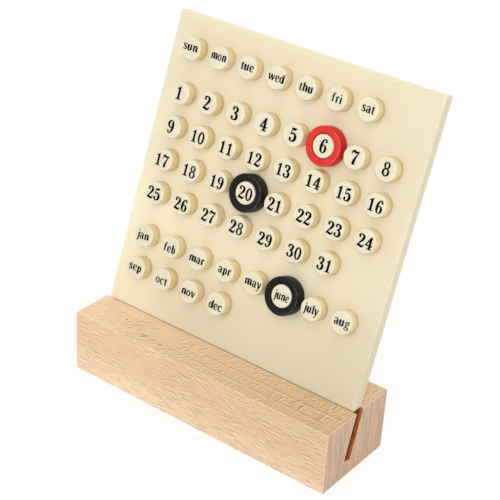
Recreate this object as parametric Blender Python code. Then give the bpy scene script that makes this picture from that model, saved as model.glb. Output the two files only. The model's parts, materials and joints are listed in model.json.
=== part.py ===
"""A standing perpetual calendar: a slotted beech block, a leaning panel of pegs, and three marker rings.

Metres, +Z up. The pegs face -Y, and the origin is the middle of the block's underside, on the desk.
"""

import math

import bmesh
import bpy
from mathutils import Matrix

MM = 0.001

# What is written on the pegs, group by group from the top row down
days = ["sun", "mon", "tue", "wed", "thu", "fri", "sat"]
dates = [f"{number:02d}" for number in range(1, 32)]
months = ["jan", "feb", "mar", "apr", "may", "june", "july", "aug", "sep", "oct", "nov", "dec"]
peg_groups = [days, dates, months]
pegs_per_row = 8

# Clearance between faces that touch on the real thing
seat_gap = 0.3 * MM

# Pegs: a round head that stands on the panel, and a shank pressed into a blind socket
head_radius = 5.4 * MM
head_height = 6.0 * MM
head_edge = 0.4 * MM
shank_radius = 3.0 * MM
socket_floor = 1.9 * MM

# Rings: the bore slips over a peg's head
ring_wall = 3.4 * MM
ring_edge = 0.7 * MM
ring_bore_edge = 0.3 * MM
ring_to_next_peg = 2.0 * MM

# Panel: its rims are measured from the outer heads, and its foot from the block's front
panel_thickness = 5.8 * MM
side_rim = 10.0 * MM
top_rim = 10.4 * MM
low_rim = 15.7 * MM
group_space = 5.3 * MM
panel_edge = 1.0 * MM
tongue_inset = 6.0 * MM
tongue_to_slot_floor = 2.4 * MM
lean = math.radians(19.5)

# Block: its slot leans less than the panel, which tips back until the tongue stops it
block_overhang = 1.85 * MM
block_depth = 47.5 * MM
block_height = 32.2 * MM
front_ledge = 22.3 * MM
slot_width = 5.0 * MM
slot_floor = 7.9 * MM
slot_lean = math.radians(16.5)

# How finely round shapes are divided, and the angle at which an edge is drawn crisp
head_sides = 24
shank_sides = 12
ring_sides = 36
ring_edge_steps = 2
panel_edge_steps = 2
crisp_angle = math.radians(40)

# How far a cutter runs past the face that it cuts
overrun = 1.0 * MM

# Sizes that follow
ring_bore = head_radius + seat_gap
ring_radius = ring_bore + ring_wall
ring_height = head_height - seat_gap
peg_pitch = ring_radius + ring_to_next_peg + head_radius
shank_length = panel_thickness - socket_floor - seat_gap
panel_width = (pegs_per_row - 1) * peg_pitch + 2 * (head_radius + side_rim)
tongue_width = panel_width - 2 * tongue_inset
block_length = panel_width + 2 * block_overhang
panel_foot_y = front_ledge - block_depth / 2
slot_depth = (block_height - slot_floor - slot_width * math.sin(slot_lean)) / math.cos(slot_lean)
tongue_depth = slot_depth - tongue_to_slot_floor
tip_back = lean - slot_lean

# How far behind the panel's face the tongue is: its foot clears the slot's front wall, its back the rear lip
tongue_front = (seat_gap + tongue_depth * math.sin(tip_back)) / math.cos(tip_back)
tongue_back = slot_width * math.cos(lean) / math.cos(slot_lean) - seat_gap

# Colours, roughnesses
beech_look = ((0.80, 0.56, 0.35), 0.6)
panel_look = ((0.83, 0.71, 0.48), 0.4)
peg_look = ((0.84, 0.78, 0.60), 0.4)
red_look = ((0.78, 0.035, 0.03), 0.35)
black_look = ((0.025, 0.025, 0.028), 0.35)

# The rings, with the peg that each one hangs on and its look
rings = {
    "red_date_ring": ("06", red_look),
    "black_date_ring": ("20", black_look),
    "black_month_ring": ("june", black_look),
}


def rows_of(group):
    """A group of pegs cut into rows."""
    return [group[start:start + pegs_per_row] for start in range(0, len(group), pegs_per_row)]


def peg_places():
    """Each peg's place on the panel's face: across from its middle, and up the slope from the block's top."""
    places = {}
    up = low_rim + head_radius
    for group in reversed(peg_groups):
        for row in reversed(rows_of(group)):
            for column, label in enumerate(row):
                places[label] = ((column - (pegs_per_row - 1) / 2) * peg_pitch, up)
            up += peg_pitch
        up += group_space
    return places


def clear_scene():
    """Removes what the scene holds."""
    for old in list(bpy.data.objects):
        bpy.data.objects.remove(old)


def material(name, look):
    """A Principled BSDF of one colour and roughness, not metallic."""
    colour, roughness = look
    made = bpy.data.materials.new(name)
    made.use_nodes = True
    shader = made.node_tree.nodes["Principled BSDF"]
    shader.inputs["Base Color"].default_value = (*colour, 1)
    shader.inputs["Roughness"].default_value = roughness
    shader.inputs["Metallic"].default_value = 0
    return made


def finished_mesh(name, bm, finish):
    """The mesh of a closed shape: faces out, round stretches smooth, edges crisp."""
    bmesh.ops.recalc_face_normals(bm, faces=bm.faces[:])
    mesh = bpy.data.meshes.new(name)
    bm.to_mesh(mesh)
    bm.free()
    mesh.shade_smooth()
    mesh.set_sharp_from_angle(angle=crisp_angle)
    mesh.materials.append(finish)
    return mesh


def add(name, data, parent=None, location=(0, 0, 0), tilt=0):
    """Puts a mesh in the scene, or an empty where there is none. tilt turns it about X."""
    made = bpy.data.objects.new(name, data)
    bpy.context.scene.collection.objects.link(made)
    made.parent = parent
    made.location = location
    made.rotation_euler.x = tilt
    return made


def band(bm, first, second):
    """Faces between two loops with the same number of vertices."""
    for step in range(len(first)):
        bm.faces.new([first[step - 1], first[step], second[step], second[step - 1]])


def lathe(bm, circles, closed=False):
    """Joins circles of (radius, height, sides) about Z, capped at both ends, or closed up into a ring."""
    loops = []
    for radius, height, sides in circles:
        lifted = Matrix.Translation((0, 0, height))
        circle = bmesh.ops.create_circle(bm, segments=sides, radius=radius, matrix=lifted)
        loops.append(circle["verts"])
    edges = [list({edge for vert in loop for edge in vert.link_edges}) for loop in loops]
    for step in range(1 - closed, len(loops)):
        if len(loops[step - 1]) == len(loops[step]):
            band(bm, loops[step - 1], loops[step])
        else:
            bmesh.ops.bridge_loops(bm, edges=edges[step - 1] + edges[step])
    if not closed:
        bm.faces.new(loops[0])
        bm.faces.new(loops[-1])


def slab(bm, outline, start, end):
    """Extrudes a flat outline from where start moves it to where end moves it."""
    face = bm.faces.new([bm.verts.new(point) for point in outline])
    bmesh.ops.translate(bm, verts=face.verts[:], vec=start)
    grown = bmesh.ops.extrude_face_region(bm, geom=[face], use_keep_orig=True)
    moved = [item for item in grown["geom"] if isinstance(item, bmesh.types.BMVert)]
    along = [last - first for first, last in zip(start, end)]
    bmesh.ops.translate(bm, verts=moved, vec=along)


def slot_point(back, down):
    """A point of the block's end view, from its place behind the slot's front wall and down the slot."""
    across = panel_foot_y + back * math.cos(slot_lean) - down * math.sin(slot_lean)
    height = block_height - back * math.sin(slot_lean) - down * math.cos(slot_lean)
    return (0, across, height)


def base_block(beech):
    """A block with a leaning slot sawn along its whole length, square at its bottom."""
    front = -block_depth / 2
    back = block_depth / 2
    outline = [
        (0, front, 0),
        (0, back, 0),
        (0, back, block_height),
        (0, panel_foot_y + slot_width / math.cos(slot_lean), block_height),
        slot_point(slot_width, slot_depth),
        slot_point(0, slot_depth),
        (0, panel_foot_y, block_height),
        (0, front, block_height),
    ]
    bm = bmesh.new()
    slab(bm, outline, (-block_length / 2, 0, 0), (block_length / 2, 0, 0))
    add("base_block", finished_mesh("base_block", bm, beech))


def is_rounded(edge, half_width, top):
    """Whether an edge is on the panel's front outline above the tongue, or is an upper corner."""
    middle = (edge.verts[0].co + edge.verts[1].co) / 2
    front = middle.y < panel_edge
    outer = abs(middle.x) > half_width - panel_edge
    upper = middle.z > top - panel_edge
    return (front and (outer or upper)) or (outer and upper)


def socket_cutter(places, panel_seat, finish):
    """One cutter for all the blind sockets that take the pegs' shanks."""
    bm = bmesh.new()
    radius = shank_radius + seat_gap
    depth = shank_length + seat_gap
    for across, up in places.values():
        earlier = set(bm.verts)
        lathe(bm, [(radius, overrun, shank_sides), (radius, -depth, shank_sides)])
        verts = [vert for vert in bm.verts if vert not in earlier]
        turned = Matrix.Translation((across, 0, up)) @ Matrix.Rotation(math.pi / 2, 4, "X")
        bmesh.ops.transform(bm, matrix=turned, verts=verts)
    cutter = add("socket_cutter", finished_mesh("socket_cutter", bm, finish), panel_seat)
    cutter.hide_render = True
    cutter.display_type = "WIRE"
    return cutter


def shoulder_height(back):
    """How far up the slope the panel's level underside is, at a place behind the panel's face."""
    return (seat_gap + back * math.sin(lean)) / math.cos(lean)


def panel(places, panel_seat, plastic):
    """The panel: softly rounded in front, with a thinner tongue under it, and a socket for each peg."""
    half_width = panel_width / 2
    half_tongue = tongue_width / 2
    top = max(up for _, up in places.values()) + head_radius + top_rim
    bm = bmesh.new()
    loops = []
    for half, front, back, front_up, back_up in (
        (half_width, 0, panel_thickness, top, top),
        (half_width, 0, panel_thickness, shoulder_height(0), shoulder_height(panel_thickness)),
        (half_tongue, tongue_front, tongue_back, shoulder_height(tongue_front), shoulder_height(tongue_back)),
        (half_tongue, tongue_front, tongue_back, -tongue_depth, -tongue_depth),
    ):
        corners = [(-half, front, front_up), (half, front, front_up)]
        corners += [(half, back, back_up), (-half, back, back_up)]
        loops.append([bm.verts.new(corner) for corner in corners])
    bm.faces.new(loops[0])
    for upper, lower in zip(loops, loops[1:]):
        band(bm, upper, lower)
    bm.faces.new(loops[-1])
    edges = [edge for edge in bm.edges if is_rounded(edge, half_width, top)]
    bmesh.ops.bevel(
        bm, geom=edges, offset=panel_edge, segments=panel_edge_steps, profile=0.5, affect="EDGES"
    )
    made = add("panel", finished_mesh("panel", bm, plastic), panel_seat)
    sockets = made.modifiers.new("sockets", "BOOLEAN")
    sockets.operation = "DIFFERENCE"
    sockets.object = socket_cutter(places, panel_seat, plastic)


def pegs(places, panel_seat, peg_plastic):
    """The pegs, all alike: each head stands on the panel, and its shank is in its socket."""
    bm = bmesh.new()
    lathe(bm, [
        (head_radius - head_edge, head_height, head_sides),
        (head_radius, head_height - head_edge, head_sides),
        (head_radius, seat_gap, head_sides),
        (shank_radius, seat_gap, shank_sides),
        (shank_radius, -shank_length, shank_sides),
    ])
    mesh = finished_mesh("peg", bm, peg_plastic)
    for label, (across, up) in places.items():
        add(f"peg_{label}", mesh, panel_seat, (across, 0, up), math.pi / 2)


def ring_rim(face, inward):
    """Circles round a ring's outer edge, from its wall to a face. inward, 1 or -1, is the way inside."""
    circles = []
    for step in range(ring_edge_steps + 1):
        turn = math.pi / 2 * step / ring_edge_steps
        radius = ring_radius - ring_edge * (1 - math.cos(turn))
        height = face + inward * ring_edge * (1 - math.sin(turn))
        circles.append((radius, height, ring_sides))
    return circles


def marker_ring(name, place, panel_seat, finish):
    """A ring slipped over a peg's head, with its front level with the peg's."""
    low = seat_gap
    high = seat_gap + ring_height
    circles = [(ring_bore, low, ring_sides)]
    circles += reversed(ring_rim(low, 1))
    circles += ring_rim(high, -1)
    circles.append((ring_bore + ring_bore_edge, high, ring_sides))
    circles.append((ring_bore, high - ring_bore_edge, ring_sides))
    bm = bmesh.new()
    lathe(bm, circles, closed=True)
    across, up = place
    add(name, finished_mesh(name, bm, finish), panel_seat, (across, 0, up), math.pi / 2)


def main():
    clear_scene()
    places = peg_places()
    base_block(material("beech", beech_look))
    panel_seat = add("panel_seat", None, None, (0, panel_foot_y, block_height), -lean)
    panel(places, panel_seat, material("panel_plastic", panel_look))
    pegs(places, panel_seat, material("peg_plastic", peg_look))
    for name, (label, look) in rings.items():
        marker_ring(name, places[label], panel_seat, material(name, look))


main()
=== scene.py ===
"""The looks of a standing perpetual calendar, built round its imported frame.

Metres, +Z up. The panel has axes of its own: across, into its back, and up its slope from the block's top.
A peg's or a ring's own axes are across, up the slope, and out of the panel's face. Lengths in the materials
are in millimetres.
"""

import json
import math

import bmesh
import bpy
from mathutils import Matrix, Vector
from mathutils.geometry import delaunay_2d_cdt


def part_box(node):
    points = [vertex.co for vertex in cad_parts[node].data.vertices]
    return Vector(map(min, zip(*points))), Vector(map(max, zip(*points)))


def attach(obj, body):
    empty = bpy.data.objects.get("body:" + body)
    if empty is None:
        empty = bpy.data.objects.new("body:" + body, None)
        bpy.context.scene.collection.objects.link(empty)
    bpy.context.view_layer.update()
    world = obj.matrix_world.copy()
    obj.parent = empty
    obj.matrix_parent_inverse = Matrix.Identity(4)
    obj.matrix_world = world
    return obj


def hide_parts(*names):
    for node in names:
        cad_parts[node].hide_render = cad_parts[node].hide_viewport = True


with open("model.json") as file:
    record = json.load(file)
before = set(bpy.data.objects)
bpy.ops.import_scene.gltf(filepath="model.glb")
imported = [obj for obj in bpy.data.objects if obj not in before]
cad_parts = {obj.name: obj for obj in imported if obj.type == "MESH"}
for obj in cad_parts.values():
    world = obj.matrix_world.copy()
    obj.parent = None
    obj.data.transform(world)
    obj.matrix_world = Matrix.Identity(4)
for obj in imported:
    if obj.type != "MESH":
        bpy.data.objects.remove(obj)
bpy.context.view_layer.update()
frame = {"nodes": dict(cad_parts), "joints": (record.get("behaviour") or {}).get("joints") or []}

MM = 0.001

# The camera: where it looks, from which side, and how far its horizon is turned
camera_target = Vector((3.39, 8.81, 84.11)) * MM
camera_distance = 656.14 * MM
camera_azimuth = math.radians(35.707)
camera_elevation = math.radians(29.568)
camera_turn = math.radians(3.609)
camera_lens = 103.15
camera_sensor = 36.0

# The panel's axes, from the way that it lifts and the way that the rings pull off
joints = {joint["name"]: joint for joint in frame["joints"]}
across_way = Vector((1, 0, 0))
up_way = Vector(joints["panel_lift"]["axis"])
out_way = Vector(joints["red_date_ring_pull"]["axis"])
lean = math.atan2(up_way.y, up_way.z)


def reach(node, way):
    """How far a node of the frame reaches along a direction: its lowest and highest place there."""
    along = [vertex.co.dot(way) for vertex in frame["nodes"][node].data.vertices]
    return min(along), max(along)


# The block, and the panel's face, foot and size, from the frame
block_low, block_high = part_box("base_block")
panel_back, panel_face = reach("panel", out_way)
panel_left, panel_right = reach("panel", across_way)
panel_thickness = panel_face - panel_back
foot_y = (panel_face - out_way.z * block_high.z) / out_way.y
panel_seat = Matrix.Translation((0, foot_y, block_high.z)) @ Matrix.Rotation(-lean, 4, "X")
seat_up = panel_seat.translation.dot(up_way)
tongue_foot = reach("panel", up_way)[0] - seat_up
panel_top = reach("panel", up_way)[1] - seat_up

# The pegs and rings, from the frame
head_radius = (reach("peg_01", across_way)[1] - reach("peg_01", across_way)[0]) / 2
head_height = reach("peg_01", out_way)[1] - panel_face
shank_length = panel_face - reach("peg_01", out_way)[0]
ring_radius = (reach("red_date_ring", across_way)[1] - reach("red_date_ring", across_way)[0]) / 2
ring_low = reach("red_date_ring", out_way)[0] - panel_face
ring_high = reach("red_date_ring", out_way)[1] - panel_face

# Sizes that the frame's boxes don't give
seat_gap = 0.3 * MM
foot_gap = 0.04 * MM
slot_width = 5.0 * MM
slot_floor = 7.9 * MM
slot_lean = math.radians(16.5)
tongue_inset = 6.0 * MM
shank_radius = 3.0 * MM
bore_radius = head_radius + 0.3 * MM
block_arris = 0.35 * MM
slot_arris = 0.2 * MM
panel_front_edge = 1.0 * MM
panel_back_edge = 0.4 * MM
tongue_edge = 0.25 * MM
head_edge = 0.5 * MM
ring_edge = 0.3 * MM
ring_bore_edge = 0.3 * MM
ink_thickness = 0.03 * MM
ink_lift = 0.005 * MM

# The slot leans less than the panel, so the panel tips back until its tongue meets the slot's two walls
slot_depth = (block_high.z - slot_floor - slot_width * math.sin(slot_lean)) / math.cos(slot_lean)
tongue_front = (seat_gap - tongue_foot * math.sin(lean - slot_lean)) / math.cos(lean - slot_lean)
tongue_back = slot_width * math.cos(lean) / math.cos(slot_lean) - seat_gap

# How finely round shapes are divided
head_sides = 72
shank_sides = 32
ring_sides = 144
edge_steps = 6
arris_steps = 3

# Edges sharper than the angle stay crisp, and large faces weigh most in the shading
crisp_angle = math.radians(40)
flat_face_weight = 80

# Rows of the frame's pegs, and the labels printed on them
days = ["sun", "mon", "tue", "wed", "thu", "fri", "sat"]
dates = [f"{number:02d}" for number in range(1, 32)]
months = ["jan", "feb", "mar", "apr", "may", "june", "july", "aug", "sep", "oct", "nov", "dec"]
labels = days + dates + months
rings = {"red_date_ring": "red_ring_plastic", "black_date_ring": "black_ring_plastic",
         "black_month_ring": "black_ring_plastic"}

# How far the print sits off the middle of its peg, across the panel and up it
middle_of_print = 93 * MM
drift_at_right = 0.4 * MM
drift_gain = 1.2 * MM
drift_share = 0.225
drift_up_slope = 0.0082

# Corners of the print that are this near, in millimetres, are one corner
join_distance = 0.001

# Each ring's plastic: the two colours of its front, its side painted with shade, and where it is worn and
# painted with a highlight
ring_colours = {
    "red_ring_plastic": (
        ((0.70, 0.040, 0.031), (0.63, 0.030, 0.024)), (0.56, 0.010, 0.006), (0.95, 0.22, 0.18),
    ),
    "black_ring_plastic": (
        ((0.005, 0.005, 0.0045), (0.010, 0.010, 0.009)), (0.008, 0.006, 0.004), (0.17, 0.165, 0.155),
    ),
}

# The floor, which fades into white between two distances in millimetres, and the surround's soft light
floor_reach = 6.0
floor_drop = 0.05 * MM
floor_colour = (0.93, 0.93, 0.93, 1)
fade_start = 70
fade_end = 330
soft_colour = (1.0, 0.995, 0.985, 1)
soft_strength = 0.475

# The lamps: azimuth and elevation in degrees, size in metres, watts and colour
lamp_distance = 0.9
pure_white = (1.0, 1.0, 1.0)
warm_white = (1.0, 0.99, 0.975)
lamps = (
    ("front", 36, 30, 0.3, 2.25, warm_white),
    ("near_left", -15, 25, 0.3, 0.55, pure_white),
    ("left", -60, 20, 0.7, 1.0, pure_white),
    ("above_left", 14, 50, 0.3, 0.65, pure_white),
    ("above_right", 50, 60, 0.5, 0.45, pure_white),
    ("top", 0, 80, 0.7, 1.0, pure_white),
    ("right", 108, 25, 0.7, 1.0, pure_white),
    ("behind", 200, 30, 0.7, 2.2, pure_white),
)


class Wire:
    """An output socket in a material. Sums, differences, products and powers add their Math nodes."""

    def __init__(self, tree, socket=None):
        self.tree = tree
        self.socket = socket

    def node(self, kind, settings=None, sockets=None, output=0):
        """Adds a node: its settings first, then a value or a wire for each of its sockets."""
        made = self.tree.nodes.new("ShaderNode" + kind)
        for name, setting in (settings or {}).items():
            setattr(made, name, setting)
        for name, value in (sockets or {}).items():
            if isinstance(value, Wire):
                self.tree.links.new(value.socket, made.inputs[name])
            else:
                made.inputs[name].default_value = value
        return Wire(self.tree, made.outputs[output] if len(made.outputs) else None)

    def maths(self, operation, first, second=0.0):
        """A Math node."""
        return self.node("Math", {"operation": operation}, {0: first, 1: second})

    def __add__(self, other):
        return self.maths("ADD", self, other)

    def __radd__(self, other):
        return self.maths("ADD", other, self)

    def __sub__(self, other):
        return self.maths("SUBTRACT", self, other)

    def __rsub__(self, other):
        return self.maths("SUBTRACT", other, self)

    def __mul__(self, other):
        return self.maths("MULTIPLY", self, other)

    def __rmul__(self, other):
        return self.maths("MULTIPLY", other, self)

    def __truediv__(self, other):
        return self.maths("DIVIDE", self, other)

    def __pow__(self, power):
        return self.maths("POWER", self, power)

    def __abs__(self):
        return self.maths("ABSOLUTE", self)

    def at_least(self, other):
        """The larger of this wire and another."""
        return self.maths("MAXIMUM", self, other)

    def between(self, low, high):
        """0 at low, 1 at high and smooth between them. low may be the larger."""
        settings = {"interpolation_type": "SMOOTHSTEP"}
        return self.node("MapRange", settings, {"Value": self, "From Min": low, "From Max": high})

    def tint(self, start, end):
        """A colour that goes from start to end as this wire goes from 0 to 1, and no further either way."""
        ends = {}
        for name, colour in (("A", start), ("B", end)):
            ends[name] = colour if isinstance(colour, Wire) else (*colour, 1)
        mixed = self.node("Mix", {"data_type": "RGBA"})
        node = mixed.socket.node
        self.tree.links.new(self.socket, node.inputs["Factor"])
        for name, colour in ends.items():
            socket = next(item for item in node.inputs if item.name == name and item.type == "RGBA")
            if isinstance(colour, Wire):
                self.tree.links.new(colour.socket, socket)
            else:
                socket.default_value = colour
        return Wire(self.tree, next(item for item in node.outputs if item.type == "RGBA"))

    def axes(self):
        """The three numbers of a vector."""
        split = self.node("SeparateXYZ", None, {"Vector": self}).socket.node
        return [Wire(self.tree, socket) for socket in split.outputs]

    def grain(self, place, size, detail=2.0):
        """Noise at a place of three numbers, with a grain of its own size along each of them."""
        x, y, z = (along / length for along, length in zip(place, size))
        point = self.node("CombineXYZ", None, {"X": x, "Y": y, "Z": z})
        return self.node("TexNoise", None, {"Vector": point, "Scale": 1.0, "Detail": detail})

    def furrows(self, place, size, step):
        """Marks with a dark and a pale side: fine noise, less the same noise read a step away."""
        beside = [along + apart if apart else along for along, apart in zip(place, step)]
        return self.grain(place, size, 1) - self.grain(beside, size, 1)

    def relief(self, height, depth, strength=1.0):
        """A normal from a height map, of which 1 is as deep as depth."""
        return self.node("Bump", None, {"Height": height, "Distance": depth, "Strength": strength})


def surface(name, fixed):
    """A material with one Principled shader, its fixed sockets set, and a wire to start nodes from."""
    made = bpy.data.materials.new(name)
    made.use_nodes = True
    shader = made.node_tree.nodes["Principled BSDF"]
    for socket, value in fixed.items():
        shader.inputs[socket].default_value = value
    return made, shader, Wire(made.node_tree)


def feed(shader, wire, socket):
    """Joins a wire to a socket of the shader."""
    wire.tree.links.new(wire.socket, shader.inputs[socket])


def place_in_mm(wire):
    """The three coordinates of the piece's own axes, in millimetres."""
    return [axis / MM for axis in wire.node("TexCoord", output="Object").axes()]


def layered(colour, *layers):
    """A colour with others laid over it, each by a share that varies."""
    for share, laid in layers:
        colour = share.tint(colour, laid)
    return colour


# Marks that show one by one on the block's top, in millimetres from its middle.
# A cutter's line: its y, and the x where it starts to show and where it shows in full
cutter_lines = ((-10.6, -16, 4), (-17.5, -30, 0))
# A short dash across the grain: the x and y of its middle, half its length, and how far it leans
dashes = (
    (9.0, -16.5, 2.4, 0.25), (37.0, -14.8, 1.6, 0.2), (42.0, -14.8, 1.8, 0.15), (51.5, -5.4, 3.6, 0.45),
    (48.8, -12.6, 2.6, 0.3), (53.2, -14.2, 2.6, 0.1), (65.2, -4.4, 2.2, 0.25), (64.6, -13.4, 4.6, 0.05),
    (-8.2, -6.6, 1.8, 0.5), (3.0, -4.4, 1.6, 0.6),
)
# A torn pit: the x and y of its middle, and its size
pits = ((-36.7, -17.4, 1.0), (-26.4, -17.9, 0.85), (-52.5, -12.0, 0.6))


def front_ripples(wire, x, y, z):
    """Ripples on the block's front, which slant down to the right and are faintest at the left."""
    slant = z + x * 0.13 + wire.grain((x, y, z), (26, 8, 14), 1) * 4
    ripples = wire.furrows((x, y, slant), (4.6, 1.5, 0.42), (0, 0, 0.4))
    patches = wire.grain((x, y, z + x * 0.15), (7, 7, 4), 2).between(0.36, 0.54) * 0.75 + 0.25
    return ripples * patches * (x.between(-70, 0) * 1.8 + 6.4)


def torn_flecks(wire, x, y, z):
    """Torn flecks on the block's top, leaning at its left and taller at its right, and cutter's marks."""
    short_place = (x * 0.72 - y * 0.70, x * 0.70 + y * 0.72, z)
    tall_place = (x * 0.93 - y * 0.37, x * 0.37 + y * 0.93, z)
    short = wire.furrows(short_place, (0.8, 3.0, 1), (-0.75, 0, 0)) * (x.between(-75, -20) * 0.55 + 0.35)
    tall = wire.furrows(tall_place, (1.0, 3.0, 1), (-0.8, 0, 0))
    crossing = wire.furrows((x, y, z), (7, 0.6, 1), (0, -0.55, 0)) * (x.between(12, 34) * 0.8 + 0.6)
    patches = wire.grain((x, y, z), (11, 7, 1), 2).between(0.36, 0.54) * 0.8 + 0.2
    at_left = x.between(14, -12)
    return (short * at_left * 4.8 + tall * (1 - at_left) * 2.3) * patches + crossing


def top_marks(wire, x, y, z):
    """Every mark on the block's top: the flecks, and the lines, dashes and pits that show one by one."""
    marks = torn_flecks(wire, x, y, z)
    for line_y, start, whole in cutter_lines:
        off = y - line_y + wire.grain((x, 0, line_y), (12, 1, 1)) * 0.5 - 0.25
        line = abs(off).between(0.45, 0.1) - abs(off + 0.9).between(0.5, 0.1) * 0.7
        marks = marks + line * x.between(start, whole) * 0.75
    for dash_x, dash_y, half_length, dash_lean in dashes:
        off = x - dash_x - (y - dash_y) * dash_lean
        ends = abs(y - dash_y).between(half_length, half_length * 0.6)
        dash = abs(off).between(0.6, 0.1) - abs(off - 1.0).between(0.6, 0.1) * 0.6
        marks = marks + dash * ends * 0.95
    for pit_x, pit_y, pit_size in pits:
        off = (x - pit_x - (y - pit_y) * 0.5) ** 2 + ((y - pit_y) * 0.8) ** 2
        marks = marks + off.between(pit_size ** 2, (pit_size * 0.4) ** 2) * 2.3
    return marks


def beside_slot(y, z):
    """How far a place on the block's ends is from the slot, in millimetres."""
    behind_foot = y - foot_y / MM
    under_top = block_high.z / MM - z
    behind = behind_foot * math.cos(slot_lean) + under_top * math.sin(slot_lean)
    down = under_top * math.cos(slot_lean) - behind_foot * math.sin(slot_lean)
    return (behind * -1.0).at_least(behind - slot_width / MM).at_least(down - slot_depth / MM)


def beech():
    """Pale beech: a rippled front, a flecked top, ends with growth rings and a painted highlight round the
    slot, and worn edges with a painted highlight.
    """
    made, shader, wire = surface("beech", {"Specular IOR Level": 0.3})
    x, y, z = place_in_mm(wire)
    facing = wire.node("TexCoord", output="Normal").axes()
    end = abs(facing[0]).between(0.6, 0.85)
    top = facing[2].between(0.6, 0.85)
    # Eased edges are painted lighter: partly wear, partly a painted highlight.
    worn_and_highlit = abs(facing[0]).at_least(abs(facing[1])).at_least(abs(facing[2])).between(0.985, 0.88)
    # Darker towards the right, on the front and the top.
    darker_to_right = x.between(-70, 75)
    low = z.between(20, 1)
    rosy = wire.grain((x, y, z), (15, 9, 7), 2).between(0.45, 0.62) * (1 - low * 0.5)
    bands = wire.grain((x, y, z - x * 0.06), (30, 5, 6), 3).between(0.36, 0.66)
    ripples = front_ripples(wire, x, y, z)
    marks = top_marks(wire, x, y, z)
    bent = y + z * 0.07 + wire.grain((0, y, z), (1, 12, 16)) * 6
    year = wire.grain((0, bent, z), (1, 2.4, 26), 3).between(0.38, 0.62)
    rays = wire.grain((0, y, z), (1, 0.7, 3.2), 2)
    specks = wire.grain((0, y, z), (1, 0.35, 0.5), 2)

    front_colour = layered(
        low.tint((0.85, 0.575, 0.335), (0.98, 0.78, 0.55)),
        (darker_to_right * (0.85 - low * 0.4), (0.725, 0.495, 0.305)),
        (rosy * (darker_to_right * 0.4 + 0.15), (0.80, 0.50, 0.32)),
        (bands * 0.35, (0.79, 0.565, 0.345)),
        (ripples * 0.4, (0.42, 0.20, 0.075)),
        (ripples * -0.4, (1.0, 0.86, 0.66)),
    )
    top_colour = layered(
        darker_to_right.tint((0.89, 0.67, 0.435), (0.63, 0.42, 0.23)),
        (rosy * 0.3, (0.76, 0.49, 0.30)),
        (bands * 0.25, (0.72, 0.53, 0.29)),
        (marks * 0.58, (0.36, 0.18, 0.055)),
        (marks * -0.5, (1.0, 0.82, 0.58)),
    )
    end_colour = layered(
        year.tint((0.645, 0.465, 0.325), (0.555, 0.36, 0.245)),
        (rays.between(0.45, 0.7) * 0.35, (0.74, 0.58, 0.44)),
        (specks.between(0.5, 0.75) * 0.4, (0.44, 0.27, 0.17)),
        # A painted highlight round the slot on the block's ends.
        (beside_slot(y, z).between(0.75, 0.2) * 0.75, (1.0, 0.80, 0.64)),
    )
    colour = layered(
        top.tint(front_colour, top_colour), (end, end_colour), (worn_and_highlit * 0.7, (0.87, 0.68, 0.50)),
    )
    feed(shader, colour, "Base Color")
    feed(shader, 0.55 + ripples * 0.15 + end * 0.12, "Roughness")
    dents = top * marks * 0.35 + (1 - top) * ripples * 0.8
    height = end * (specks * 0.8 + rays * 0.4) - (1 - end) * dents
    feed(shader, wire.relief(height, 0.05 * MM, 0.8), "Normal")
    return made


def sawn_slot():
    """The slot's walls: the same beech, browned by the saw and darkened with painted shade, darkest deeper
    in, with marks across the cut.
    """
    made, shader, wire = surface("sawn_slot", {"Specular IOR Level": 0.2})
    x, y, z = place_in_mm(wire)
    saw = wire.grain((x, y, z), (0.8, 9, 9), 2)
    # Patches of saw-browned wood, their colours darkened with painted shade.
    scorched_and_shaded = wire.grain((x, y, z), (14, 5, 5), 3).between(0.35, 0.7)
    # Painted shade, darker deeper into the slot.
    painted_shade_deep_in = (block_high.x / MM - abs(x)).between(0.4, 2.8)
    colour = layered(
        scorched_and_shaded.tint((0.62, 0.19, 0.042), (0.45, 0.118, 0.020)),
        (painted_shade_deep_in, scorched_and_shaded.tint((0.17, 0.052, 0.012), (0.105, 0.031, 0.008))),
        (saw.between(0.45, 0.7) * 0.35, (0.26, 0.115, 0.05)),
    )
    feed(shader, colour, "Base Color")
    feed(shader, 0.6 + saw * 0.2, "Roughness")
    feed(shader, wire.relief(saw, 0.08 * MM), "Normal")
    return made


# How far light spreads inside the cream plastics
milky = {"Subsurface Weight": 0.7, "Subsurface Radius": (1.0, 0.85, 0.6), "Subsurface Scale": 1.2 * MM}


def panel_plastic():
    """Satin cream plastic: uneven in tone, with painted shade and light across it, a fine moulded texture,
    wiped patches and painted shade along its foot.
    """
    made, shader, wire = surface("panel_plastic", {"Specular IOR Level": 0.35, **milky})
    x, y, z = place_in_mm(wire)
    clouds = wire.grain((x, y, z), (34, 34, 30), 2).between(0.3, 0.7)
    texture = wire.grain((x, y, z), (0.35, 0.35, 0.35), 2)
    wiped = wire.grain((x, y, z), (16, 16, 9), 3)
    # Painted shade: darker at the top, towards the foot, at the right and at the lower right. Painted
    # light: lighter at the middle left.
    high = z.between(85, 125)
    low = z.between(45, 5) * (x.between(-75, -25) * 0.6 + 0.3)
    painted_shade_low_right = x.between(15, 60) * z.between(60, 15)
    painted_light_middle_left = x.between(-25, -65) * z.between(85, 50)
    colour = layered(
        clouds.tint((0.85, 0.77, 0.58), (0.83, 0.745, 0.555)),
        (high * 0.9, (0.79, 0.712, 0.53)),
        (low, (0.725, 0.65, 0.475)),
        (x.between(15, 70) * 0.75, (0.755, 0.685, 0.52)),
        (painted_shade_low_right * 0.5, (0.66, 0.585, 0.42)),
        (painted_light_middle_left * 0.6, (0.93, 0.84, 0.63)),
        (texture.between(0.5, 0.75) * 0.12, (0.75, 0.64, 0.41)),
        # A painted shade line along the panel's foot.
        (z.between(0.6, 0.1) * 0.35, (0.30, 0.17, 0.07)),
    )
    feed(shader, colour, "Base Color")
    feed(shader, 0.36 + wiped * 0.16, "Roughness")
    feed(shader, wire.relief(texture, 0.02 * MM, 0.5), "Normal")
    return made


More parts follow.
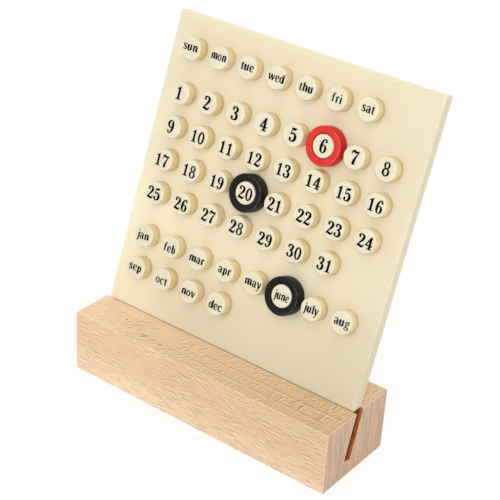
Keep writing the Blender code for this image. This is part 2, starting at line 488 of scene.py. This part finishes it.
def peg_plastic():
    """Ivory plastic: the flat face of a peg is whiter than its side, which is painted with shade, darkest
    and yellowest at its foot.
    """
    made, shader, wire = surface("peg_plastic", {"Specular IOR Level": 0.4, **milky})
    x, y, z = place_in_mm(wire)
    random = wire.node("ObjectInfo", output="Random")
    radius = (x ** 2 + y ** 2) ** 0.5
    face = z.between(head_height / MM - 0.7, head_height / MM - 0.1)
    rim = radius.between(head_radius / MM - 1.1, head_radius / MM - 0.6)
    clouds = wire.grain((x + random * 200, y, z), (5, 5, 5), 2)
    cloudy = clouds.between(0.3, 0.7)
    texture = wire.grain((x + random * 12, y, z), (0.3, 0.3, 0.3), 2)
    # The side is painted with shade: tan, and darkest at its foot.
    shaded_side_colour = layered(
        z.between(0.2, 3.6).tint((0.605, 0.445, 0.18), (0.77, 0.645, 0.38)),
        (cloudy * 0.3, (0.77, 0.62, 0.35)),
    )
    face_colour = cloudy.tint((0.785, 0.72, 0.56), (0.765, 0.70, 0.525))
    colour = layered(shaded_side_colour, (face, face_colour), (random * 0.25, (0.82, 0.745, 0.55)))
    feed(shader, colour, "Base Color")
    feed(shader, 0.34 + clouds * 0.1 - rim * 0.06, "Roughness")
    feed(shader, wire.relief(texture, 0.015 * MM, 0.5), "Normal")
    return made


def ring_plastic(name, front_colours, shaded_side_colour, wear_and_highlight_colour):
    """Turned and handled plastic: faint tool lines, specks, a side and bore edge painted with shade, and a
    front worn pale near its outer edge, with a painted highlight on its right.
    """
    made, shader, wire = surface(name, {"Specular IOR Level": 0.12})
    x, y, z = place_in_mm(wire)
    front = wire.node("TexCoord", output="Normal").axes()[2].between(0.3, 0.8)
    radius = (x ** 2 + y ** 2) ** 0.5
    rim = ring_radius / MM
    bore = bore_radius / MM
    turn = wire.maths("ARCTAN2", y, x) * rim
    turned = wire.grain((radius, turn, z), (0.16, 30, 0.16), 2)
    clouds = wire.grain((x, y, z), (3.5, 3.5, 3.5), 3)
    outer = radius.between(rim - 2.2, rim - 1.0)
    scratches = wire.grain((radius, turn, z), (0.2, 0.9, 0.2), 2).between(0.58, 0.70) * (outer * 0.8 + 0.1)
    specks = wire.grain((x, y, z), (0.28, 0.28, 0.28), 1).between(0.66, 0.76) * (outer * 0.7 + 0.15)
    # The front's outer edge is worn, with a painted highlight on its right side.
    worn_and_highlit_edge = radius.between(rim - 1.15, rim - 0.75) * radius.between(rim - 0.3, rim - 0.6) * front
    patches = wire.grain((turn, radius, z), (2.5, 1, 1), 2).between(0.35, 0.6) * 0.7 + 0.3
    worn_and_highlit = worn_and_highlit_edge * patches * x.between(-2, 6)
    colour = layered(
        # The side is painted with shade.
        front.tint(shaded_side_colour, clouds.between(0.3, 0.7).tint(*front_colours)),
        # Painted shade round the bore, where the ring meets its peg.
        (radius.between(bore + 0.5, bore + 0.15) * 0.7, shaded_side_colour),
        (scratches * 0.15 + specks * 0.35 + worn_and_highlit * 0.35, wear_and_highlight_colour),
    )
    feed(shader, colour, "Base Color")
    feed(shader, 0.32 + clouds * 0.12 + scratches * 0.25, "Roughness")
    feed(shader, wire.relief(turned * 0.4 - scratches, 0.012 * MM), "Normal")
    return made


def black_ink():
    """Printing ink: nearly black, a little thin in places."""
    made, shader, wire = surface("black_ink", {"Specular IOR Level": 0.04})
    x, y, z = place_in_mm(wire)
    thin = wire.grain((x, y, z), (0.5, 0.5, 1), 3)
    colour = thin.between(0.5, 0.8).tint((0.0025, 0.002, 0.0015), (0.012, 0.010, 0.007))
    feed(shader, colour, "Base Color")
    feed(shader, 0.38 + thin * 0.2, "Roughness")
    return made


def piece(name, bm, materials, body, node=None, place=None):
    """Puts a closed mesh in the scene, smooth where it is round, and ties it to its body, slot and node."""
    return dress(name, finished(name, bm), materials, body, node, place)


def finished(name, bm):
    """The mesh of a closed shape, with its faces turned outward."""
    bmesh.ops.recalc_face_normals(bm, faces=bm.faces[:])
    mesh = bpy.data.meshes.new(name)
    bm.to_mesh(mesh)
    bm.free()
    return mesh


def dress(name, mesh, materials, body, node=None, place=None):
    """An object of a mesh that may be shared, tied to its body, slot and node."""
    if not mesh.materials:
        for material in materials:
            mesh.materials.append(material)
        mesh.shade_smooth()
        mesh.set_sharp_from_angle(angle=crisp_angle)
    made = add_object(name, mesh, place)
    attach(made, body)
    if node:
        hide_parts(node)
    return made


def add_object(name, data, place=None):
    """An object of a mesh, a lamp or a camera, put in the scene."""
    made = bpy.data.objects.new(name, data)
    bpy.context.scene.collection.objects.link(made)
    made.matrix_world = place or Matrix.Identity(4)
    return made


def even_shading(made):
    """Lets a piece's large flat faces set the shading, so that they look flat beside rounded edges."""
    weighted = made.modifiers.new("even_shading", "WEIGHTED_NORMAL")
    weighted.keep_sharp = True
    weighted.weight = flat_face_weight


def thicken(bm, faces, along):
    """Closes flat faces into a solid by a copy of them some way along."""
    grown = bmesh.ops.extrude_face_region(bm, geom=faces, use_keep_orig=True)
    moved = [item for item in grown["geom"] if isinstance(item, bmesh.types.BMVert)]
    bmesh.ops.translate(bm, verts=moved, vec=along)


def slab(bm, outline, along):
    """Extrudes a flat outline."""
    face = bm.faces.new([bm.verts.new(point) for point in outline])
    thicken(bm, [face], along)
    bmesh.ops.recalc_face_normals(bm, faces=bm.faces[:])


def band(bm, first, second):
    """Faces between two loops with the same number of vertices."""
    for step in range(len(first)):
        bm.faces.new([first[step - 1], first[step], second[step], second[step - 1]])


def rounded(bm, edges, width, steps, material=-1):
    """Rounds edges over, in a material of their own or in that of the faces beside them."""
    bmesh.ops.bevel(
        bm, geom=edges, offset=width, segments=steps, profile=0.5, affect="EDGES", clamp_overlap=True,
        material=material,
    )


def slot_point(back, down):
    """A point of the block's end view, from its place behind the slot's front wall and down the slot."""
    turned = Matrix.Rotation(-slot_lean, 3, "X") @ Vector((0, back, -down))
    return Vector((block_low.x, foot_y, block_high.z)) + turned


def beech_block(wood, cut):
    """The block, its edges eased with sandpaper, and its slot."""
    outline = [
        Vector((block_low.x, block_low.y, block_low.z)),
        Vector((block_low.x, block_high.y, block_low.z)),
        Vector((block_low.x, block_high.y, block_high.z)),
        Vector((block_low.x, foot_y + slot_width / math.cos(slot_lean), block_high.z)),
        slot_point(slot_width, slot_depth),
        slot_point(0, slot_depth),
        Vector((block_low.x, foot_y, block_high.z)),
        Vector((block_low.x, block_low.y, block_high.z)),
    ]
    bm = bmesh.new()
    slab(bm, outline, (block_high.x - block_low.x, 0, 0))
    for face in bm.faces:
        middle = face.calc_center_median()
        inside = all(block_low[axis] + MM < middle[axis] < block_high[axis] - MM for axis in (0, 1, 2))
        face.material_index = int(inside)
    convex = [edge for edge in bm.edges if edge.is_convex]
    slot_edges = [edge for edge in convex if any(face.material_index for face in edge.link_faces)]
    rounded(bm, [edge for edge in convex if edge not in slot_edges], block_arris, arris_steps)
    slot_edges = [
        edge for edge in bm.edges
        if edge.is_convex and {face.material_index for face in edge.link_faces} == {0, 1}
    ]
    # The slot's eased edges take the slot's dark material: a painted shade line at its mouth.
    rounded(bm, slot_edges, slot_arris, arris_steps, material=1)
    made = piece("beech_block", bm, [wood, cut], "stand", "base_block")
    even_shading(made)


def underside(back):
    """How far up the slope the panel's level underside is, at a place behind the panel's face."""
    return (foot_gap + back * math.sin(lean)) / math.cos(lean)


def plastic_panel(plastic, places):
    """The panel: rounded in front, eased elsewhere, with a thinner tongue and a socket for each shank."""
    top = panel_top
    bm = bmesh.new()
    loops = []
    for inset, front, back, front_up, back_up in (
        (0, 0, panel_thickness, top, top),
        (0, 0, panel_thickness, underside(0), underside(panel_thickness)),
        (tongue_inset, tongue_front, tongue_back, underside(tongue_front), underside(tongue_back)),
        (tongue_inset, tongue_front, tongue_back, tongue_foot, tongue_foot),
    ):
        left = panel_left + inset
        right = panel_right - inset
        corners = [(left, front, front_up), (right, front, front_up)]
        corners += [(right, back, back_up), (left, back, back_up)]
        loops.append([bm.verts.new(corner) for corner in corners])
    bm.faces.new(loops[0])
    for upper, lower in zip(loops, loops[1:]):
        band(bm, upper, lower)
    bm.faces.new(loops[-1])
    bmesh.ops.recalc_face_normals(bm, faces=bm.faces[:])

    def outer(edge):
        middle = (edge.verts[0].co + edge.verts[1].co) / 2
        return not panel_left + MM < middle.x < panel_right - MM or middle.z > top - MM

    def at(edge, depth):
        return all(abs(vert.co.y - depth) < panel_back_edge for vert in edge.verts)

    corners = [
        edge for edge in bm.edges
        if outer(edge) and min(vert.co.z for vert in edge.verts) > top - MM and not at(edge, 0)
        and not at(edge, panel_thickness)
    ]
    rounded(bm, corners, panel_front_edge, edge_steps)
    rounded(bm, [edge for edge in bm.edges if outer(edge) and at(edge, 0)], panel_front_edge, edge_steps)
    behind = [edge for edge in bm.edges if outer(edge) and at(edge, panel_thickness)]
    rounded(bm, behind, panel_back_edge, arris_steps)
    foot = [
        edge for edge in bm.edges
        if edge.is_convex and all(vert.co.z < underside(vert.co.y) + seat_gap for vert in edge.verts)
    ]
    rounded(bm, foot, tongue_edge, arris_steps)
    made = piece("plastic_panel", bm, [plastic], "calendar_panel", "panel", panel_seat)
    cut_sockets(made, places)
    even_shading(made)


def cut_sockets(panel, places):
    """Cuts a blind socket into the panel for each peg's shank."""
    socket_radius = shank_radius + seat_gap
    socket_depth = shank_length + seat_gap
    bm = bmesh.new()
    for across, up in places.values():
        turned = Matrix.Translation((across, 0, up)) @ Matrix.Rotation(math.pi / 2, 4, "X")
        bmesh.ops.create_cone(
            bm, cap_ends=True, segments=shank_sides, radius1=socket_radius, radius2=socket_radius,
            depth=2 * socket_depth, matrix=turned,
        )
    cutter = add_object("sockets", finished("sockets", bm), panel_seat)
    cut = panel.modifiers.new("sockets", "BOOLEAN")
    cut.operation = "DIFFERENCE"
    cut.object = cutter
    bpy.context.view_layer.update()
    ready = bpy.data.meshes.new_from_object(panel.evaluated_get(bpy.context.evaluated_depsgraph_get()))
    panel.modifiers.clear()
    panel.data = ready
    bpy.data.objects.remove(cutter)


def lathe(bm, circles, sides, closed=False):
    """Joins circles of (radius, height) about Z, capped at both ends, or closed up into a ring."""
    loops = []
    for radius, height in circles:
        lifted = Matrix.Translation((0, 0, height))
        made = bmesh.ops.create_circle(bm, segments=sides, radius=radius, matrix=lifted)
        loops.append(made["verts"])
    for step in range(1 - closed, len(loops)):
        band(bm, loops[step - 1], loops[step])
    if not closed:
        bm.faces.new(loops[0])
        bm.faces.new(loops[-1])


def quarter(radius, height, size, start, steps):
    """Points of (radius, height) on a quarter circle about a middle, from an angle in quarter turns."""
    turns = [(start + step / steps) * math.pi / 2 for step in range(steps + 1)]
    return [(radius + size * math.cos(turn), height + size * math.sin(turn)) for turn in turns]


def peg_mesh():
    """A peg: a flat round head with a rounded rim, and its shank."""
    flat = head_radius - head_edge
    circles = [(shank_radius, -shank_length), (shank_radius, ink_lift), (head_radius, ink_lift)]
    circles += quarter(flat, head_height - head_edge, head_edge, 0, edge_steps)
    circles.append((flat - head_edge / 4, head_height))
    bm = bmesh.new()
    lathe(bm, circles, head_sides)
    return finished("peg", bm)


def ring_mesh():
    """A ring: rounded outside, and just eased round its bore."""
    wall = ring_radius - ring_edge
    bore = bore_radius + ring_bore_edge
    circles = quarter(wall, ring_low + ring_edge, ring_edge, -1, edge_steps)
    circles += quarter(wall, ring_high - ring_edge, ring_edge, 0, edge_steps)
    circles += quarter(bore, ring_high - ring_bore_edge, ring_bore_edge, 1, arris_steps)
    circles += quarter(bore, ring_low + ring_bore_edge, ring_bore_edge, 2, arris_steps)
    bm = bmesh.new()
    lathe(bm, circles, ring_sides, closed=True)
    return finished("ring", bm)


def place_of(node):
    """Where a peg or a ring stands on the panel: across, and up the slope."""
    across = sum(reach(node, across_way)) / 2
    up = sum(reach(node, up_way)) / 2 - seat_up
    return across, up


def stood(across, up):
    """The axes of a piece that stands on the panel's face."""
    return panel_seat @ Matrix.Translation((across, 0, up)) @ Matrix.Rotation(math.pi / 2, 4, "X")


# The type. A letter's shapes are polygons in units of a small x's height, a figure's in its own height.
curve_steps = 7
ball_sides = 20
figure_weight = 1.34
letter_weight = 1.2
letter_stem = 0.3
bowl_side = 0.245
figure_side = 0.2
figure_thin = 0.11


def brush(*points, weight=figure_weight):
    """A stroke of a figure: a smooth line through points of (x, y, width)."""
    points = [Vector(point) for point in points]
    points = [2 * points[0] - points[1]] + points + [2 * points[-1] - points[-2]]
    samples = []
    for start in range(len(points) - 3):
        before, first, last, after = points[start:start + 4]
        for step in range(curve_steps + (start == len(points) - 4)):
            t = step / curve_steps
            bend = (2 * before - 5 * first + 4 * last - after) * t ** 2
            twist = (3 * first - before - 3 * last + after) * t ** 3
            samples.append((2 * first + (last - before) * t + bend + twist) / 2)
    left, right = [], []
    for step, sample in enumerate(samples):
        ahead = samples[min(step + 1, len(samples) - 1)] - samples[max(step - 1, 0)]
        aside = Vector((-ahead.y, ahead.x)).normalized() * sample.z / 2 * weight
        left.append(sample.xy + aside)
        right.append(sample.xy - aside)
    return [[left[n], right[n], right[n + 1], left[n + 1]] for n in range(len(samples) - 1)]


def pen(*points):
    """A stroke of a letter."""
    return brush(*points, weight=letter_weight)


def ball(x, y, radius):
    """The round end of a stroke."""
    turns = [2 * math.pi * step / ball_sides for step in range(ball_sides)]
    return [[Vector((x + radius * math.cos(turn), y + radius * math.sin(turn))) for turn in turns]]


def bowl(left, right, low, high, side, thin):
    """A closed oval, heavy at its sides and thin at its top and foot."""
    middle = Vector(((left + right) / 2, (low + high) / 2))
    outer = Vector(((right - left) / 2, (high - low) / 2))
    inner = outer - Vector((side, thin))
    turns = [math.pi * step / ball_sides for step in range(2 * ball_sides)]
    rim = [Vector((outer.x * math.cos(turn), outer.y * math.sin(turn))) + middle for turn in turns]
    hole = [Vector((inner.x * math.cos(turn), inner.y * math.sin(turn))) + middle for turn in turns]
    return [[rim[n - 1], rim[n], hole[n], hole[n - 1]] for n in range(len(turns))]


def shape(*corners):
    """A shape with straight sides."""
    return [[Vector(corner) for corner in corners]]


def stem(x, low, high, width=letter_stem):
    """An upright with its ends cut on a slant, and a spur at its head."""
    return shape(
        (x, low + 0.08), (x + width / 2, low - 0.02), (x + width, low + 0.06), (x + width, high - 0.02),
        (x + width - 0.06, high), (x - 0.09, high - 0.17), (x, high - 0.22),
    )


def arch(x, span):
    """The arch of an n, from one upright to the next."""
    right = x + span
    middle = right + letter_stem / 2
    return pen(
        (x + 0.17, 0.68, 0.07), (x + 0.30, 0.86, 0.12), (middle - 0.11, 0.91, 0.19),
        (middle - 0.01, 0.76, 0.25), (middle, 0.5, letter_stem), (middle, 0.05, letter_stem),
    )


def turned(shapes, width, height=1.0):
    """Shapes turned half round, as a u is a turned n."""
    return [[Vector((width - point.x, height - point.y)) for point in corners] for corners in shapes]


six = (
    bowl(0.02, 0.595, -0.01, 0.60, figure_side, 0.07)
    + brush((0.105, 0.32, 0.15), (0.115, 0.55, 0.15), (0.175, 0.80, 0.12), (0.29, 0.945, 0.075),
             (0.42, 0.965, 0.07), (0.49, 0.90, 0.075))
    + ball(0.465, 0.835, 0.085)
)
low_round = pen((0.10, 0.36, 0.20), (0.10, 0.5, 0.215), (0.14, 0.76, 0.19), (0.36, 0.955, 0.10))

figures = {
    "0": bowl(0.0, 0.61, -0.01, 1.01, 0.185, figure_thin),
    "1": (
        shape((0.185, 0.03), (0.38, 0.03), (0.38, 1.0), (0.30, 1.0), (0.185, 0.86))
        + shape((0.22, 0.92), (0.22, 0.78), (0.08, 0.74), (0.05, 0.79), (0.18, 0.90))
        + shape((0.06, 0.0), (0.51, 0.0), (0.51, 0.07), (0.38, 0.09), (0.185, 0.09), (0.06, 0.07))
    ),
    "2": (
        ball(0.125, 0.775, 0.095)
        + brush((0.05, 0.80, 0.05), (0.10, 0.92, 0.085), (0.28, 0.965, 0.075), (0.44, 0.88, 0.135),
                 (0.47, 0.72, 0.165), (0.37, 0.50, 0.13), (0.18, 0.26, 0.075), (0.06, 0.05, 0.08))
        + brush((0.03, 0.03, 0.06), (0.15, 0.115, 0.13), (0.32, 0.075, 0.145), (0.45, 0.055, 0.12),
                 (0.545, 0.14, 0.07), (0.57, 0.26, 0.045))
    ),
    "3": (
        ball(0.12, 0.80, 0.092)
        + ball(0.105, 0.21, 0.098)
        + brush((0.05, 0.83, 0.05), (0.12, 0.93, 0.085), (0.27, 0.965, 0.075), (0.43, 0.89, 0.135),
                 (0.455, 0.76, 0.155), (0.38, 0.60, 0.11), (0.22, 0.535, 0.06))
        + brush((0.22, 0.535, 0.06), (0.41, 0.47, 0.12), (0.505, 0.30, 0.165), (0.455, 0.12, 0.14),
                 (0.29, 0.035, 0.075), (0.12, 0.08, 0.09), (0.03, 0.18, 0.05))
    ),
    "4": (
        shape((0.32, 0.03), (0.51, 0.03), (0.51, 0.98), (0.44, 1.0), (0.32, 0.80))
        + brush((0.42, 0.93, 0.10), (0.07, 0.31, 0.075))
        + shape((0.0, 0.245), (0.63, 0.245), (0.63, 0.345), (0.03, 0.345))
        + shape((0.21, 0.0), (0.62, 0.0), (0.62, 0.07), (0.51, 0.09), (0.32, 0.09), (0.21, 0.07))
    ),
    "5": (
        brush((0.11, 0.965, 0.05), (0.20, 0.915, 0.12), (0.36, 0.915, 0.14), (0.50, 0.98, 0.06))
        + brush((0.135, 0.96, 0.055), (0.115, 0.50, 0.06))
        + brush((0.10, 0.49, 0.05), (0.20, 0.585, 0.08), (0.36, 0.60, 0.10), (0.49, 0.45, 0.155),
                 (0.505, 0.27, 0.17), (0.43, 0.10, 0.13), (0.28, 0.035, 0.075), (0.13, 0.07, 0.085),
                 (0.035, 0.17, 0.05))
        + ball(0.11, 0.205, 0.098)
    ),
    "6": six,
    "7": (
        brush((0.035, 0.70, 0.04), (0.06, 0.86, 0.085), (0.17, 0.935, 0.14), (0.33, 0.885, 0.135),
               (0.47, 0.895, 0.09), (0.585, 0.99, 0.05))
        + brush((0.585, 0.98, 0.05), (0.47, 0.70, 0.075), (0.36, 0.45, 0.12), (0.305, 0.20, 0.165),
                 (0.30, 0.0, 0.17))
    ),
    "8": bowl(0.055, 0.555, 0.50, 1.01, 0.155, 0.08) + bowl(0.01, 0.605, -0.01, 0.565, 0.175, 0.085),
    "9": turned(six, 0.61),
}

bow_left = bowl(0.0, 0.72, -0.01, 0.99, bowl_side, 0.13)
n_shapes = stem(0.09, 0, 1) + arch(0.09, 0.50)
letters = {
    "a": (
        pen((0.08, 0.74, 0.15), (0.17, 0.90, 0.12), (0.36, 0.955, 0.10), (0.54, 0.82, 0.18),
               (0.57, 0.60, 0.22), (0.57, 0.16, 0.22), (0.66, 0.03, 0.12), (0.76, 0.08, 0.06))
        + pen((0.54, 0.58, 0.09), (0.30, 0.52, 0.10), (0.115, 0.31, 0.21), (0.19, 0.07, 0.15),
                 (0.36, 0.05, 0.11), (0.56, 0.22, 0.08))
    ),
    "b": stem(0.09, 0.04, 1.40) + bowl(0.12, 0.80, -0.01, 0.99, bowl_side, 0.13),
    "c": (
        low_round
        + pen((0.36, 0.955, 0.10), (0.50, 0.94, 0.13), (0.60, 0.82, 0.16), (0.61, 0.74, 0.10))
        + pen((0.10, 0.5, 0.215), (0.16, 0.2, 0.19), (0.36, 0.045, 0.12), (0.54, 0.10, 0.08),
                 (0.64, 0.22, 0.05))
    ),
    "d": bow_left + stem(0.545, 0, 1.40),
    "e": (
        low_round
        + pen((0.36, 0.955, 0.10), (0.53, 0.89, 0.15), (0.59, 0.72, 0.17), (0.54, 0.57, 0.10),
                 (0.32, 0.47, 0.085), (0.14, 0.44, 0.08))
        + pen((0.10, 0.5, 0.215), (0.16, 0.2, 0.19), (0.37, 0.045, 0.12), (0.55, 0.10, 0.08),
                 (0.66, 0.24, 0.05))
    ),
    "f": (
        pen((0.60, 1.25, 0.12), (0.50, 1.36, 0.12), (0.34, 1.30, 0.16), (0.265, 1.08, 0.21),
               (0.26, 0.8, 0.22), (0.26, 0.02, 0.22))
        + shape((0.0, 0.86), (0.54, 0.86), (0.58, 0.97), (0.05, 0.97))
    ),
    "g": (
        bowl(0.06, 0.66, 0.33, 1.0, 0.18, 0.10)
        + pen((0.52, 0.90, 0.09), (0.68, 0.97, 0.12), (0.80, 0.94, 0.15))
        + pen((0.24, 0.38, 0.09), (0.12, 0.24, 0.10), (0.22, 0.12, 0.13), (0.50, 0.08, 0.16),
                 (0.67, -0.07, 0.16), (0.56, -0.27, 0.11), (0.30, -0.33, 0.10), (0.07, -0.24, 0.12),
                 (0.06, -0.08, 0.10), (0.22, 0.07, 0.07))
    ),
    "h": stem(0.09, 0, 1.40) + arch(0.09, 0.50),
    "i": stem(0.09, 0, 1) + ball(0.19, 1.27, 0.125),
    "j": (
        stem(0.09, 0.1, 1) + ball(0.19, 1.27, 0.125)
        + pen((0.2, 0.2, 0.22), (0.195, -0.1, 0.20), (0.11, -0.32, 0.15), (-0.04, -0.42, 0.09))
    ),
    "l": stem(0.09, 0, 1.40),
    "m": stem(0.09, 0, 1) + arch(0.09, 0.47) + arch(0.56, 0.47),
    "n": n_shapes,
    "o": bowl(0.0, 0.80, -0.01, 1.0, 0.23, 0.13),
    "p": stem(0.09, -0.38, 1) + bowl(0.12, 0.80, -0.01, 0.99, bowl_side, 0.13),
    "r": (
        stem(0.09, 0, 1)
        + pen((0.25, 0.68, 0.07), (0.36, 0.87, 0.14), (0.50, 0.95, 0.15), (0.62, 0.86, 0.17))
    ),
    "s": (
        pen((0.56, 0.72, 0.06), (0.52, 0.88, 0.12), (0.35, 0.955, 0.11), (0.16, 0.87, 0.17),
               (0.13, 0.70, 0.19), (0.33, 0.52, 0.21), (0.52, 0.35, 0.20), (0.52, 0.16, 0.18),
               (0.32, 0.045, 0.11), (0.12, 0.10, 0.13), (0.06, 0.28, 0.06))
    ),
    "t": (
        pen((0.255, 1.17, 0.10), (0.255, 0.98, 0.20), (0.255, 0.5, 0.22), (0.26, 0.2, 0.21),
               (0.35, 0.04, 0.13), (0.50, 0.07, 0.07))
        + shape((0.0, 0.86), (0.48, 0.86), (0.53, 0.97), (0.06, 0.97))
    ),
    "u": turned(n_shapes, 0.86),
    "v": pen((0.10, 1.0, 0.24), (0.36, 0.06, 0.20)) + pen((0.66, 0.96, 0.17), (0.40, 0.04, 0.10)),
    "w": (
        pen((0.10, 1.0, 0.23), (0.33, 0.06, 0.19)) + pen((0.60, 0.98, 0.12), (0.36, 0.06, 0.10))
        + pen((0.58, 1.0, 0.23), (0.82, 0.06, 0.19)) + pen((1.10, 0.96, 0.16), (0.86, 0.04, 0.10))
    ),
    "y": (
        pen((0.10, 1.0, 0.24), (0.38, 0.06, 0.20))
        + pen((0.68, 0.96, 0.17), (0.42, 0.04, 0.12), (0.28, -0.30, 0.11), (0.08, -0.36, 0.15))
    ),
}

small_x = 3.0 * MM
letter_space = 0.08
lone_figure = 6.35 * MM
paired_figure = 5.9 * MM
figure_advance = 0.69

# How wide each word is printed, in millimetres
word_widths = {
    "sun": 8.3, "mon": 8.8, "tue": 7.2, "wed": 8.8, "thu": 7.5, "fri": 5.2, "sat": 6.4,
    "jan": 7.0, "feb": 7.0, "mar": 9.1, "apr": 7.4, "may": 9.3, "june": 7.8,
    "july": 7.6, "aug": 8.2, "sep": 7.5, "oct": 6.9, "nov": 8.1, "dec": 7.5,
}


def spread(shapes):
    """The lowest and highest corners of shapes."""
    xs = [point.x for corners in shapes for point in corners]
    ys = [point.y for corners in shapes for point in corners]
    return Vector((min(xs), min(ys))), Vector((max(xs), max(ys)))


def typeset(text):
    """A label's shapes, set in line, at their real size and centred on their own middle."""
    shapes = []
    if text.isdigit():
        size = lone_figure if len(text) == 1 else paired_figure
        for count, figure in enumerate(text):
            low, high = spread(figures[figure])
            shift = Vector((count * figure_advance - (low.x + high.x) / 2, 0))
            shapes += [[point + shift for point in corners] for corners in figures[figure]]
    else:
        size = small_x
        right = 0.0
        for letter in text:
            low, high = spread(letters[letter])
            shift = Vector((right - low.x, 0))
            shapes += [[point + shift for point in corners] for corners in letters[letter]]
            right += high.x - low.x + letter_space
    low, high = spread(shapes)
    middle = (low + high) / 2
    wide = word_widths[text] * MM / (high.x - low.x) if text in word_widths else size
    scale = Matrix.Diagonal((wide, size))
    return [[scale @ (point - middle) for point in corners] for corners in shapes]


def is_right_handed(corners):
    """Whether a polygon's corners go round anticlockwise."""
    return sum(corners[n - 1].cross(corners[n]) for n in range(len(corners))) > 0


def printed(shapes):
    """A thin closed film of ink on a peg's face, of the area that the shapes cover together."""
    points = []
    polygons = []
    for corners in shapes:
        halves = [corners[:3], [corners[0], *corners[2:]]] if len(corners) == 4 else [corners]
        for half in halves:
            ordered = half if is_right_handed(half) else half[::-1]
            polygons.append(list(range(len(points), len(points) + len(ordered))))
            points += [point / MM for point in ordered]
    found = delaunay_2d_cdt(points, [], polygons, 1, join_distance)
    verts, triangles, sources = found[0], found[2], found[5]
    bm = bmesh.new()
    made = [bm.verts.new((vert.x * MM, vert.y * MM, head_height + ink_lift)) for vert in verts]
    for triangle, source in zip(triangles, sources):
        if source:
            bm.faces.new([made[corner] for corner in triangle])
    bmesh.ops.delete(bm, geom=[vert for vert in bm.verts if not vert.link_faces], context="VERTS")
    thicken(bm, bm.faces[:], (0, 0, ink_thickness))
    return bm


def print_drift(across, up):
    """How far the print sits off a peg's middle: it creeps to the right and upwards across the panel."""
    across_share = (across - panel_left) / (panel_right - panel_left)
    aside = drift_at_right - drift_gain * math.exp(-across_share / drift_share)
    return aside, (up - middle_of_print) * drift_up_slope


def seen_by_camera(wire):
    """1 for what the camera sees, straight on or by way of a shine or something clear."""
    path = wire.node("LightPath").socket.node
    kinds = ("Camera", "Glossy", "Transmission")
    straight, shone, through = [Wire(wire.tree, path.outputs[f"Is {kind} Ray"]) for kind in kinds]
    return straight.at_least(shone).at_least(through)


def add_floor():
    """A pale floor that holds the shadow, and turns into the white surround further out."""
    corners = [(-floor_reach, -floor_reach, 0), (floor_reach, -floor_reach, 0)]
    corners += [(floor_reach, floor_reach, 0), (-floor_reach, floor_reach, 0)]
    mesh = bpy.data.meshes.new("floor")
    mesh.from_pydata(corners, [], [(0, 1, 2, 3)])
    floor = add_object("floor", mesh)
    floor.location.z = block_low.z - floor_drop
    paper = bpy.data.materials.new("white_paper")
    paper.use_nodes = True
    paper.node_tree.nodes.clear()
    wire = Wire(paper.node_tree)
    x, y, _ = place_in_mm(wire)
    far = ((x ** 2 + y ** 2) ** 0.5).between(fade_start, fade_end)
    lit = wire.node("BsdfDiffuse", None, {"Color": floor_colour})
    white = wire.node("Emission", None, {"Color": (1, 1, 1, 1), "Strength": 1.0})
    share = seen_by_camera(wire) * (far * 0.15 + 0.85)
    mixed = wire.node("MixShader", None, {0: share, 1: lit, 2: white})
    wire.node("OutputMaterial", None, {"Surface": mixed})
    mesh.materials.append(paper)


def add_surround():
    """A surround that is white to the camera, and lights the calendar softly."""
    world = bpy.data.worlds.new("studio")
    bpy.context.scene.world = world
    world.use_nodes = True
    world.node_tree.nodes.clear()
    wire = Wire(world.node_tree)
    soft = wire.node("Background", None, {"Color": soft_colour, "Strength": soft_strength})
    white = wire.node("Background", None, {"Color": (1, 1, 1, 1), "Strength": 1.0})
    mixed = wire.node("MixShader", None, {0: seen_by_camera(wire), 1: soft, 2: white})
    wire.node("OutputWorld", None, {"Surface": mixed})


def looking_at_middle(azimuth, elevation, distance, turn=0.0):
    """The place of a lamp or a camera that faces the calendar's middle. Angles are in radians."""
    facing = Matrix.Rotation(azimuth, 4, "Z") @ Matrix.Rotation(math.pi / 2 - elevation, 4, "X")
    facing = facing @ Matrix.Rotation(turn, 4, "Z")
    return Matrix.Translation(camera_target) @ facing @ Matrix.Translation((0, 0, distance))


def add_lamps():
    """Round soft lamps on every side."""
    for name, azimuth, elevation, size, watts, colour in lamps:
        lamp = bpy.data.lights.new(name, "AREA")
        lamp.shape = "DISK"
        lamp.size = size
        lamp.energy = watts
        lamp.color = colour
        place = looking_at_middle(math.radians(azimuth), math.radians(elevation), lamp_distance)
        add_object(name, lamp, place)


def add_camera():
    """The camera that sees the calendar as the photograph does."""
    data = bpy.data.cameras.new("camera")
    data.lens = camera_lens
    data.sensor_width = camera_sensor
    place = looking_at_middle(camera_azimuth, camera_elevation, camera_distance, camera_turn)
    bpy.context.scene.camera = add_object("camera", data, place)


def add_calendar():
    """Every piece of the calendar."""
    places = {label: place_of(f"peg_{label}") for label in labels}
    beech_block(beech(), sawn_slot())
    plastic_panel(panel_plastic(), places)
    ivory = peg_plastic()
    ink = black_ink()
    shared_peg = peg_mesh()
    for label, (across, up) in places.items():
        dress(f"plastic_peg_{label}", shared_peg, [ivory], "calendar_panel",
              f"peg_{label}", stood(across, up))
        aside, above = print_drift(across, up)
        piece(f"print_{label}", printed(typeset(label.lstrip("0"))), [ink], "calendar_panel",
              place=stood(across + aside, up + above))
    finishes = {name: ring_plastic(name, *colours) for name, colours in ring_colours.items()}
    for node, slot in rings.items():
        body = node.replace("_ring", "_marker")
        dress(f"plastic_{node}", ring_mesh(), [finishes[slot]], body, node, stood(*place_of(node)))


add_camera()
add_floor()
add_surround()
add_lamps()
add_calendar()
bpy.context.scene.view_settings.view_transform = "Standard"
